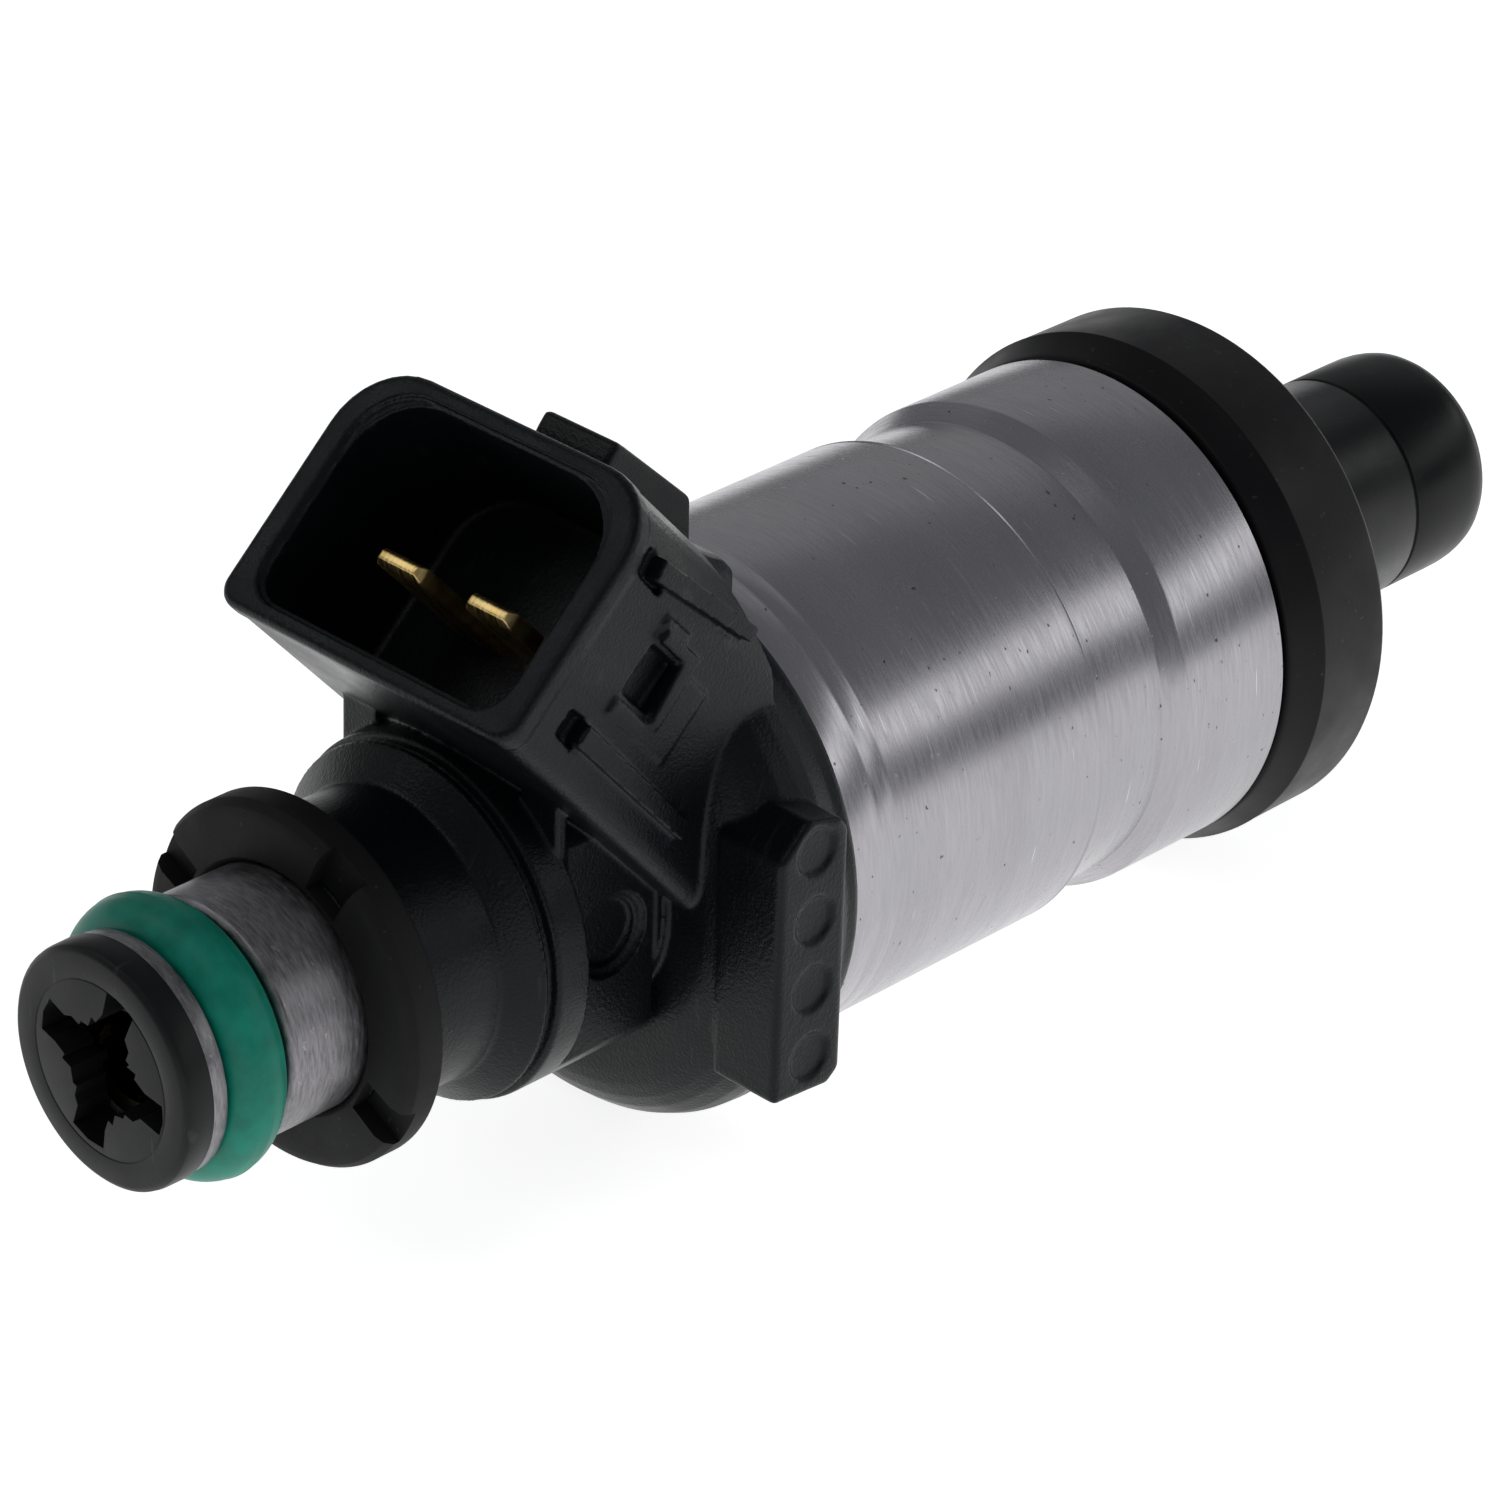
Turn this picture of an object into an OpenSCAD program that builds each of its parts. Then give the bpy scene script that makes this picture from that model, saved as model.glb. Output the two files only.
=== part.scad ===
// Top-feed solenoid fuel injector, taken apart into its separate pieces.
// Millimetres. The injector lies along X: the fuel inlet is at -X, the nozzle at +X,
// and the electrical plug leans up (+Z) and back towards the inlet.
// The origin is on the axis, in the middle of the manifold seal ring.

/* [Inlet end] */
// Radius of the steel inlet tube
tube_r = 4.93; // [4.9:0.01:4.95]
// Radius of the fuel bore through the inlet tube
bore_r = 2.35; // [2.3:0.05:2.4]
// Outer radius of the inlet O-ring, which seals in an 11 mm rail bore
o_ring_r = 5.65; // [5.6:0.05:5.75]
// Thickness of the inlet O-ring's section
o_ring_t = 2.7; // [2.6:0.05:2.8]
// Radius of the plastic filter cap
cap_r = 4.88; // [4.7:0.02:4.9]
// Outer radius of the rubber cushion ring
cushion_r = 7.4; // [7.2:0.1:7.8]

/* [Moulded body] */
// Radius of the moulded neck behind the cushion ring
neck_r = 6; // [5.9:0.05:6.2]
// Radius of the coned collar and of the block behind it
collar_r = 7.3; // [7.2:0.05:7.4]
// Radius of the round block under the plug
block_r = 7.45; // [7.4:0.05:7.6]
// Half distance between the two flats of the block
flat_y = 5.8; // [5.7:0.05:5.9]
// Largest radius of the moulded dome
dome_r = 11.6; // [11.5:0.05:11.9]
// Outer face of the dimpled side pad
pad_y = 12; // [11.9:0.05:12.2]

/* [Plug] */
// Angle between the plug and the injector's axis, in degrees
plug_angle = 47.33; // [46:0.1:49]
// Half width of the plug shroud, across the injector
plug_half_y = 7.9; // [7.8:0.05:8]
// Half height of the plug shroud
plug_half_x = 5.55; // [5.5:0.05:5.6]
// Depth of the plug socket
socket_depth = 8; // [7.5:0.5:9]
// Distance of each terminal from the middle of the plug
terminal_y = 2.42; // [2.3:0.02:2.5]
// Width of a terminal blade
blade_w = 2.4; // [2.2:0.1:2.4]
// Thickness of a terminal blade
blade_t = 0.7; // [0.6:0.05:0.8]

/* [Steel housing] */
// Radius of the housing beside the moulded dome
housing_r = 10.42; // [10.3:0.02:10.45]
// Radius of the turned-down band
band_r = 9.87; // [9.7:0.01:10]
// Radius of the housing at its nozzle end
housing_end_r = 10.5; // [10.48:0.02:10.6]
// Radius of the bore that holds the coil
coil_bore_r = 8.6; // [8.6:0.05:8.8]

/* [Nozzle end] */
// Outer radius of the manifold seal
seal_r = 11.15; // [11.1:0.05:11.3]
// Outer radius of the nozzle cap
nozzle_r = 4.9; // [4.85:0.05:5]

/* [Valve] */
// Travel of the valve from shut to open
lift = 0.12; // [0.08:0.01:0.14]
// Radius of the sliding armature
armature_r = 4.3; // [4.2:0.02:4.3]
// Radius of the needle's guide lands
land_r = 1.8; // [1.78:0.01:1.8]

/* [Hidden] */
$fn = 96;
// Running gap between a sliding piece and its bore
slide_gap = 0.05;
// Overlap that lets a cutting tool pass a face
eps = 0.5;

// Stations along X, from the inlet to the nozzle
cap_front_x = -57;
tube_front_x = -55.75;
groove_front_x = -55;
groove_rear_x = -52.05;
cushion_front_x = -48.5;
cushion_web_x = -47.9;
cushion_rear_x = -46.6;
cone_x = -42.5;
rim_x = -41.5;
block_x = -41.1;
block_rear_x = -34.4;
dome_front_x = -33.95;
housing_front_x = -30;
plastic_rear_x = -28.35;
coil_front_x = -28.3;
coil_rear_x = -17.3;
pole_x = -16.5;
valve_front_x = -15.1;
band_front_x = -13.87;
band_rear_x = -9.75;
band_chamfer_x = -8.9;
housing_rear_x = -2.9;
seal_half = 2.7;
cap_groove_x = 12.3;
nozzle_round_x = 15.2;
nozzle_end_x = 16.9;
tip_x = 17.6;

groove_r = o_ring_r - o_ring_t + 0.1;
// Outside of the housing's front end, where the moulding grips it
spigot_r = 9.6;
plate_front_x = -29.95;
plate_rear_x = coil_front_x - 0.1;
spool_r = tube_r + 0.97;
seal_seat_r = spool_r - 0.45;
hook_r = 5.4;
winding_r = coil_bore_r - 0.45;
flange_r = coil_bore_r - 0.05;
lead_z = 6.1;
lead_r = 0.4;
stop_front_x = -9.5;
stop_rear_x = -8.7;
armature_front_x = pole_x + lift + 0.03;
armature_rear_x = -10;
spring_pocket_x = -14.5;
adjuster_front_x = -33;
adjuster_rear_x = -22;
hub_r = 7;
cap_flange_r = 9.8;
cap_bore_r = 3.65;

// Outline of the dome: how far below its largest radius, and where along X
dome_outline = [[3.5, dome_front_x], [2.6, -33.88], [2, -33.75], [1.4, -33.5], [0.85, -33.1],
    [0.35, -32.5], [0.1, -31.9], [0, -31], [0.1, -30.3], [0.45, -29.6], [0.6, -29.2],
    [0.65, -28.6]];
// Outer face of one side pad, as [x, z], and how far its front leans back to the dome
pad_outline = [[-33.95, -5.95], [-30.95, -6.2], [-30.32, -5.7], [-30.32, 4.9],
    [-30.7, 5.45], [-32.45, 5.95], [-33.95, 4.6]];
pad_lean = 0.6;
pad_foot_y = 8.6;
dimple_x = -32.05;
dimple_pitch = 3;
dimple_r = 1;
// Flats of the block, the round recess in each, and the webs above them
flat_front_x = -39.4;
flat_low_z = -8;
flat_high_z = 2.9;
recess_x = -36.6;
recess_r = 1.8;
web_front_x = -39.75;
web_t = 1.2;
core_front_x = -37.6;
core_y = 5.2;

// Place of the plug's mouth, its turn about Y, and its corner radii
plug_x = -40.4;
plug_z = 15.72;
plug_turn = plug_angle - 90;
plug_wall_x = 0.95;
plug_wall_y = 1.4;
plug_top_round = 3;
plug_low_round = 0.9;
blade_x = -0.95;
blade_tip_z = -1.5;
blade_root_z = -13;

// Colours
black_plastic = [0.09, 0.1, 0.11];
steel = [0.6, 0.59, 0.62];
brass = [0.72, 0.58, 0.32];
rubber = [0.06, 0.06, 0.07];

// Turns an outline of [radius, x] points about the X axis
module lathe(outline) {
    rotate([0, 90, 0]) rotate_extrude() polygon(outline);
}

// Round bar along X
module bar(r, x0, x1) {
    translate([x0, 0, 0]) rotate([0, 90, 0]) cylinder(r = r, h = x1 - x0);
}

// Plain ring along X
module ring(r_out, r_in, x0, x1) {
    difference() {
        bar(r_out, x0, x1);
        bar(r_in, x0 - eps, x1 + eps);
    }
}

// Rubber ring of round section, with a narrow flat land where it seals
module o_ring(x, r_out, thick, land) {
    round_r = thick / 2;
    mid_r = r_out - round_r + 0.08;
    intersection() {
        translate([x, 0, 0]) rotate([0, 90, 0])
            rotate_extrude() translate([mid_r, 0]) circle(r = round_r, $fn = 48);
        bar(r_out, x - land, x + land);
    }
}

// Moves to the plug's mouth: local Z points out of the socket
module at_plug() {
    translate([plug_x, 0, plug_z]) rotate([0, plug_turn, 0]) children();
}

// Section of the plug: wide round corners on the upper side, tight ones below
module plug_section(half_x, half_y, top_round, low_round) {
    union() {
        translate([-half_x + low_round, -half_y])
            square([2 * half_x - low_round - top_round, 2 * half_y]);
        translate([-half_x, -half_y + low_round])
            square([half_x, 2 * half_y - 2 * low_round]);
        translate([0, -half_y + top_round])
            square([half_x, 2 * half_y - 2 * top_round]);
        for (side = [-1, 1]) {
            translate([-half_x + low_round, side * (half_y - low_round)])
                circle(r = low_round);
            translate([half_x - top_round, side * (half_y - top_round)])
                circle(r = top_round);
        }
    }
}

// One lobe of the ragged star in the filter cap: a wedge that widens outwards
module star_lobe(angle, reach, half_w) {
    rotate(angle) polygon([[0, -half_w * 0.7], [reach * 0.6, -half_w * 0.8], [reach, -half_w],
        [reach * 1.04, 0], [reach, half_w], [reach * 0.6, half_w * 0.7], [0, half_w * 0.8]]);
}

// Plastic cap with the star-shaped fuel inlet
module filter_cap() color(black_plastic) {
    star_floor_x = tube_front_x + 0.2;
    difference() {
        lathe([[0, cap_front_x], [cap_r - 0.4, cap_front_x], [cap_r, cap_front_x + 0.35],
            [cap_r, tube_front_x], [3.68, tube_front_x], [3.68, tube_front_x + 0.5],
            [0, tube_front_x + 0.5]]);
        translate([cap_front_x - eps, 0, 0]) rotate([0, 90, 0])
            linear_extrude(star_floor_x - cap_front_x + eps) {
                circle(r = 1.9, $fn = 40);
                star_lobe(68, 3.2, 0.8);
                star_lobe(162, 3.6, 0.75);
                star_lobe(248, 3.3, 0.7);
                star_lobe(340, 3.3, 0.85);
            }
        bar(2.62, star_floor_x - 0.05, tube_front_x + 0.5 + eps);
    }
}

// Brass ferrule that carries the filter basket in the inlet bore
module filter_ferrule() color(brass) {
    lip_x = tube_front_x + 0.2;
    lathe([[1.85, lip_x], [2.6, lip_x], [2.6, lip_x + 0.3], [bore_r - 0.01, lip_x + 0.3],
        [bore_r - 0.01, -51.5], [1.85, -51.5]]);
}

// Plastic cage of the filter: two rings joined by four ribs
module filter_basket() color(black_plastic) {
    cage_front_x = -51.45;
    cage_rear_x = -40;
    union() {
        ring(2.2, 1.5, cage_front_x, cage_front_x + 1);
        bar(2.2, cage_rear_x - 0.8, cage_rear_x);
        for (angle = [45:90:315])
            rotate([angle, 0, 0]) translate([cage_front_x + 0.5, -0.3, 1.55])
                cube([cage_rear_x - cage_front_x - 0.9, 0.6, 0.6]);
    }
}

// Fine wire gauze inside the cage
module filter_mesh() color("silver") {
    ring(1.5, 1.35, -50.4, -40.85);
}

// Turned steel tube: O-ring groove in front, magnetic pole face behind
module inlet_tube() color(steel) {
    end_r = 4.8;
    difference() {
        lathe([[0, tube_front_x], [end_r, tube_front_x], [end_r, groove_front_x],
            [groove_r, groove_front_x], [groove_r, groove_rear_x],
            [tube_r - 0.2, groove_rear_x], [tube_r, groove_rear_x + 0.2],
            [tube_r, pole_x - 0.3], [tube_r - 0.3, pole_x], [0, pole_x]]);
        bar(bore_r, tube_front_x - eps, pole_x + eps);
        bar(3.7, tube_front_x - eps, tube_front_x + 0.52);
    }
}

// Green rubber ring that seals in the fuel rail
module inlet_o_ring() color([0.04, 0.43, 0.33]) {
    groove_mid_x = (groove_front_x + groove_rear_x) / 2;
    o_ring(groove_mid_x, o_ring_r, o_ring_t, 1.3);
}

// Rubber cushion between the injector and the rail cup, slotted in front
module cushion_ring() color(rubber) {
    slot_w = 1.7;
    slot_depth = 0.75;
    difference() {
        lathe([[tube_r, cushion_front_x + 0.3], [tube_r + 0.5, cushion_front_x],
            [cushion_r - 0.7, cushion_front_x], [cushion_r, cushion_front_x + 0.55],
            [cushion_r, cushion_rear_x - 0.25], [cushion_r - 0.25, cushion_rear_x],
            [hook_r, cushion_rear_x], [hook_r, cushion_web_x],
            [tube_r, cushion_web_x]]);
        for (angle = [25:90:295])
            rotate([angle, 0, 0])
                translate([cushion_front_x - eps, -slot_w / 2, tube_r + 1])
                    cube([slot_depth + eps, slot_w, cushion_r]);
    }
}

// Solid of revolution that the plug body grows from
module body_turning() {
    lathe([[tube_r, cushion_web_x], [hook_r, cushion_web_x],
        [hook_r, cushion_rear_x], [neck_r, cushion_rear_x], [neck_r, cone_x],
        [collar_r, rim_x], [collar_r, rim_x + 0.15], [collar_r - 0.35, rim_x + 0.15],
        [collar_r - 0.35, block_x - 0.1], [block_r - 0.1, block_x - 0.1], [block_r, block_x],
        [block_r, block_rear_x], [flat_y, block_rear_x], [flat_y, dome_front_x],
        for (point = dome_outline) [dome_r - point[0], point[1]],
        [housing_r + 0.4, plastic_rear_x], [spigot_r, plastic_rear_x],
        [spigot_r, housing_front_x], [tube_r, housing_front_x]]);
}

// Dimpled pad on one side of the dome
module side_pad() {
    intersection() {
        translate([0, pad_y, 0]) rotate([90, 0, 0]) linear_extrude(pad_y) polygon(pad_outline);
        translate([0, 0, -coil_bore_r]) linear_extrude(2 * coil_bore_r)
            polygon([[dome_front_x, pad_y], [dome_front_x + pad_lean, pad_foot_y],
                [block_rear_x + 2, 0], [housing_front_x, 0], [housing_front_x, pad_y]]);
    }
}

// Round dimples in the face of the side pad
module pad_dimples() {
    for (step = [-1.5:1:1.5])
        translate([dimple_x, pad_y - 0.25, step * dimple_pitch]) rotate([-90, 0, 0])
            cylinder(r = dimple_r, h = 1);
}

// Ribs, pocket and shallow step on one side wall of the plug
module plug_side_raised() {
    rib_z = 6.8;
    for (side = [-1, 1]) {
        long = side < 0 ? 9.9 : rib_z;
        translate([side * 3.45 - 0.55, plug_half_y - eps, -1.6 - long])
            cube([1.1, eps + 0.45, long]);
    }
    translate([-2, plug_half_y - eps, -8.3]) cube([3.9, eps + 0.14, 4.2]);
}

// Pockets that are sunk into one side wall of the plug
module plug_side_cuts() {
    translate([-1, plug_half_y - 1, -6.2]) cube([2, 2, 2.2]);
    for (side = [-1, 1])
        translate([side * 3.45 - 0.35, plug_half_y - 0.6, -3.9]) cube([0.7, 2, 2]);
}

// Shroud of the plug, down to the injector's body
module shroud() {
    at_plug() union() {
        translate([0, 0, -16])
            linear_extrude(16)
                plug_section(plug_half_x - 0.08, plug_half_y - 0.08, plug_top_round,
                    plug_low_round);
        translate([0, 0, -1.2]) linear_extrude(1.2)
            plug_section(plug_half_x, plug_half_y, plug_top_round, plug_low_round);
        for (side = [0, 1]) mirror([0, side, 0]) plug_side_raised();
    }
}

// Upright webs that tie the plug's underside to the block
module webs() {
    for (side = [-1, 1])
        translate([web_front_x, side * flat_y - web_t / 2, flat_high_z])
            cube([dome_front_x + 0.15 - web_front_x, web_t, 6.6]);
    translate([core_front_x, -core_y, 5])
        cube([dome_front_x + 0.1 - core_front_x, 2 * core_y, 5]);
}

// Lock ramp on the upper side of the plug
module lock_ramp() {
    translate([0, 2, 0]) rotate([90, 0, 0]) linear_extrude(4)
        polygon([[-34.6, 16.6], [-33.35, 17.9], [-33.1, 18.1], [-29, 14.5], [-29, 9], [-31, 9]]);
}

// Moulded body: neck, collar, block, dome, side pads and plug in one moulding
module plug_body() color(black_plastic) {
    difference() {
        union() {
            body_turning();
            difference() {
                union() {
                    intersection() {
                        shroud();
                        translate([-60, -20, -1]) cube([60 + plastic_rear_x, 40, 40]);
                    }
                    webs();
                    lock_ramp();
                }
                bar(tube_r + 0.5, -60, -20);
                bar(spigot_r + 0.05, housing_front_x - 0.02, -20);
                for (side = [-1, 1])
                    translate([-30.3, side * 11 - 4.5, 5]) cube([5, 9, 10]);
            }
            difference() {
                for (side = [0, 1]) mirror([0, side, 0]) side_pad();
                bar(spigot_r + 0.05, -60, -20);
            }
        }
        for (side = [0, 1]) mirror([0, side, 0]) {
            pad_dimples();
            translate([flat_front_x, flat_y, flat_low_z])
                cube([block_rear_x - flat_front_x, 5, flat_high_z - flat_low_z]);
            translate([recess_x, flat_y + eps, 0]) rotate([90, 0, 0])
                cylinder(r = recess_r, h = 0.3 + eps);
            translate([recess_x, flat_y, 0]) rotate([90, 0, 0])
                cylinder(r = recess_r - 0.4, h = 0.55);
            at_plug() plug_side_cuts();
        }
        at_plug() {
            translate([0, 0, -socket_depth]) linear_extrude(socket_depth + 1)
                plug_section(plug_half_x - plug_wall_x, plug_half_y - plug_wall_y, 2.2, 1.3);
            for (side = [-1, 1]) blade_space(side);
        }
        for (side = [-1, 1]) lead_space(side);
    }
}

// Space that one terminal blade fills
module blade_space(side) {
    translate([blade_x - blade_t / 2, side * terminal_y - blade_w / 2, blade_root_z])
        cube([blade_t, blade_w, blade_tip_z - blade_root_z]);
}

// Space that one coil lead fills, from its terminal to the coil
module lead_space(side) {
    lead_front_x = -32.7;
    translate([lead_front_x, side * terminal_y, lead_z]) rotate([0, 90, 0])
        cylinder(r = lead_r, h = coil_front_x + 0.6 - lead_front_x);
}

// Brass blade with a chamfered tip
module terminal(side) color(brass) {
    at_plug() difference() {
        blade_space(side);
        translate([blade_x, side * terminal_y, blade_tip_z]) for (edge = [-1, 1]) {
            translate([0, edge * blade_w / 2, 0]) rotate([edge * 45, 0, 0])
                cube([2, 0.5, 0.5], center = true);
            translate([edge * blade_t / 2, 0, 0]) rotate([0, 45, 0])
                cube([0.3, 4, 0.3], center = true);
        }
    }
}

module terminal_left() terminal(1);

module terminal_right() terminal(-1);

// Copper lead from the coil to a terminal
module coil_lead(side) color([0.72, 0.42, 0.28]) {
    difference() {
        lead_space(side);
        at_plug() blade_space(side);
    }
}

module coil_lead_left() coil_lead(1);

module coil_lead_right() coil_lead(-1);

// Magnetic washer that closes the front of the housing
module back_plate() color(steel) {
    difference() {
        ring(flange_r, tube_r + 0.02, plate_front_x, plate_rear_x);
        for (side = [-1, 1])
            translate([plate_front_x - eps, side * terminal_y, lead_z]) rotate([0, 90, 0])
                cylinder(r = lead_r + 0.2, h = 4);
    }
}

// Turned steel can around the coil
module steel_housing() color(steel) {
    lip_x = housing_rear_x - 0.3;
    lathe([[coil_bore_r, housing_front_x], [spigot_r, housing_front_x], [spigot_r, plastic_rear_x],
        [housing_r - 0.12, plastic_rear_x], [housing_r, plastic_rear_x + 0.5],
        [housing_r, band_front_x - 0.1], [housing_r - 0.1, band_front_x],
        [band_r, band_front_x + 0.06], [band_r, band_rear_x],
        [housing_end_r, band_chamfer_x], [housing_end_r, housing_rear_x - 0.25],
        [housing_end_r - 0.25, housing_rear_x], [7.9, housing_rear_x], [7.9, lip_x],
        [coil_bore_r, lip_x]]);
}

// Plastic spool of the coil
module coil_bobbin() color([0.2, 0.16, 0.12]) {
    inner_r = tube_r + 0.05;
    flange_t = 1;
    difference() {
        union() {
            ring(spool_r, inner_r, coil_front_x, coil_rear_x);
            ring(flange_r - 0.1, inner_r, coil_front_x, coil_front_x + flange_t);
            ring(flange_r - 0.1, inner_r, coil_rear_x - flange_t, coil_rear_x);
        }
        bar(seal_seat_r, coil_front_x - eps, coil_front_x + 0.8);
        bar(seal_seat_r, coil_rear_x - 0.8, coil_rear_x + eps);
        for (side = [-1, 1]) lead_space(side);
    }
}

// Copper winding
module coil_winding() color([0.72, 0.36, 0.2]) {
    ring(winding_r, spool_r + 0.02, coil_front_x + 1.02, coil_rear_x - 1.02);
}

// Rubber rings that keep fuel away from the coil
module coil_seal(x) color(rubber) {
    ring(seal_seat_r - 0.02, tube_r + 0.02, x, x + 0.7);
}

module front_coil_seal() coil_seal(coil_front_x + 0.05);

module rear_coil_seal() coil_seal(coil_rear_x - 0.75);

// Brass tube that sets the spring's load
module adjusting_tube() color(brass) {
    ring(bore_r - 0.02, 1.3, adjuster_front_x, adjuster_rear_x);
}

// Point of the spring's centre line at a turn angle
function coil_point(angle, mean_r, x0, rise) =
    [x0 + rise * angle / 360, mean_r * cos(angle), mean_r * sin(angle)];

// Closing spring of the valve, swept around its centre line
module return_spring() color("silver") {
    mean_r = 1.45;
    wire_r = 0.25;
    turns = 6;
    start_x = adjuster_rear_x + wire_r + 0.02;
    rise = (spring_pocket_x - 0.16 - wire_r - start_x) / turns;
    sides = 8;
    steps = turns * 20;
    points = [for (i = [0:steps]) for (j = [0:sides - 1])
        let (angle = i * 18, spot = coil_point(angle, mean_r, start_x, rise),
            out = [0, cos(angle), sin(angle)], turn = j * 360 / sides)
            spot + wire_r * (cos(turn) * out + sin(turn) * [1, 0, 0])];
    walls = [for (i = [0:steps - 1]) for (j = [0:sides - 1])
        [i * sides + j, i * sides + (j + 1) % sides,
            (i + 1) * sides + (j + 1) % sides, (i + 1) * sides + j]];
    ends = [[for (j = [sides - 1:-1:0]) j], [for (j = [0:sides - 1]) steps * sides + j]];
    polyhedron(points, concat(walls, ends));
}

// Non-magnetic ring between the core and the valve body
module spacer_ring() color([0.72, 0.7, 0.66]) {
    ring(flange_r, tube_r + 0.03, coil_rear_x + 0.05, valve_front_x - 0.05);
}

// Soft iron slug that the coil pulls towards the core
module armature() color([0.5, 0.5, 0.53]) {
    difference() {
        bar(armature_r, armature_front_x, armature_rear_x);
        bar(1.9, armature_front_x - eps, spring_pocket_x);
        bar(1.3, spring_pocket_x - eps, armature_rear_x + eps);
        for (angle = [0:90:270])
            rotate([angle, 0, 0]) translate([armature_front_x - eps, 0, 3])
                rotate([0, 90, 0]) cylinder(r = 0.5, h = 8);
    }
}

// Needle: pressed into the armature, guided by two lands, coned at the seat
module needle() color([0.66, 0.66, 0.7]) {
    lathe([[0, -14], [1.3, -14], [1.3, -9.9], [1.1, -9.9], [1.1, stop_rear_x + lift + 0.03],
        [2.4, stop_rear_x + lift + 0.03], [2.4, -7.7], [1.1, -7.7], [1.1, -6],
        [land_r, -6], [land_r, -4], [1.1, -4], [1.1, 11.6], [land_r, 11.6], [land_r, 13.6],
        [1.3, 14], [1.3, 14.6], [0.5, 15.5], [0.3, 16.6], [0, 16.6]]);
}

// Stop washer with a side slot, so that it slips over the needle
module stop_plate() color(steel) {
    difference() {
        ring(5.9, 1.5, stop_front_x, stop_rear_x);
        translate([stop_front_x - eps, -1.5, 0]) cube([2, 3, 8]);
    }
}

// Valve body: guides the armature and the needle, and holds the seat
module valve_body() color([0.62, 0.62, 0.65]) {
    seal_groove_x = -6.5;
    difference() {
        lathe([[0, valve_front_x], [flange_r, valve_front_x], [flange_r, seal_groove_x],
            [7.3, seal_groove_x], [7.3, seal_groove_x + 1.6], [flange_r, seal_groove_x + 1.6],
            [flange_r, housing_rear_x - 0.35], [6, housing_rear_x - 0.35], [6, -1],
            [3.6, -1], [3.6, 16.3], [0, 16.3]]);
        bar(armature_r + slide_gap, valve_front_x - eps, stop_front_x - 0.3);
        bar(5.95, stop_front_x - 0.3, -8);
        bar(2.6, -9, -7.2);
        bar(land_r + slide_gap, -8, 14.1);
        lathe([[0, 14], [land_r + slide_gap, 14], [0.6, 15.6], [0.6, 17], [0, 17]]);
    }
}

// Rubber ring between the valve body and the housing
module valve_body_seal() color(rubber) {
    ring(coil_bore_r - 0.02, 7.33, -6.35, -5.05);
}

// Thin plate with the metering hole
module orifice_plate() color("silver") {
    ring(3.3, 0.6, 16.35, 16.8);
}

// Plastic nozzle cap: flange under the housing's lip, hub for the seal, round nose
module nozzle_cap() color(black_plastic) {
    flange_front_x = housing_rear_x + 0.05;
    flange_rear_x = -1.6;
    difference() {
        lathe([[6.05, flange_front_x], [cap_flange_r, flange_front_x],
            [cap_flange_r, flange_rear_x], [hub_r, flange_rear_x], [hub_r, seal_half - 0.15],
            [nozzle_r, seal_half - 0.15], [nozzle_r, cap_groove_x - 0.1],
            [nozzle_r - 0.12, cap_groove_x], [nozzle_r, cap_groove_x + 0.1],
            [nozzle_r, nozzle_round_x], [nozzle_r - 0.06, nozzle_round_x + 0.7],
            [nozzle_r - 0.26, nozzle_end_x - 0.1], [nozzle_r - 0.4, nozzle_end_x],
            [0, nozzle_end_x], [0, -0.9], [6.05, -0.9]]);
        bar(cap_bore_r, -1 - eps, 16.32);
        bar(3.32, 16, nozzle_end_x + eps);
    }
}

// Ring welded over the nozzle's mouth
module nozzle_end_ring() color([0.14, 0.15, 0.16]) {
    lathe([[2, nozzle_end_x + 0.02], [nozzle_r - 0.35, nozzle_end_x + 0.02],
        [nozzle_r - 0.08, nozzle_end_x + 0.15], [nozzle_r - 0.08, nozzle_end_x + 0.4],
        [nozzle_r - 0.4, tip_x], [2.4, tip_x]]);
}

// Large rubber ring that seals in the manifold
module manifold_seal() color(rubber) {
    lathe([[cap_flange_r + 0.02, -seal_half], [housing_end_r - 0.1, -seal_half],
        [housing_end_r + 0.1, -seal_half + 0.2], [seal_r - 0.05, -1.4], [seal_r, -1.3],
        [seal_r, seal_half - 0.3], [seal_r - 0.3, seal_half], [hub_r + 0.02, seal_half],
        [hub_r + 0.02, -1.55], [cap_flange_r + 0.02, -1.55]]);
}

filter_cap();
filter_ferrule();
filter_basket();
filter_mesh();
inlet_tube();
inlet_o_ring();
cushion_ring();
plug_body();
terminal_left();
terminal_right();
back_plate();
steel_housing();
coil_bobbin();
coil_winding();
front_coil_seal();
rear_coil_seal();
coil_lead_left();
coil_lead_right();
adjusting_tube();
return_spring();
spacer_ring();
armature();
needle();
stop_plate();
valve_body();
valve_body_seal();
orifice_plate();
nozzle_cap();
nozzle_end_ring();
manifold_seal();
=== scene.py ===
import math
import bpy
from mathutils import Matrix, Vector


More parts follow.
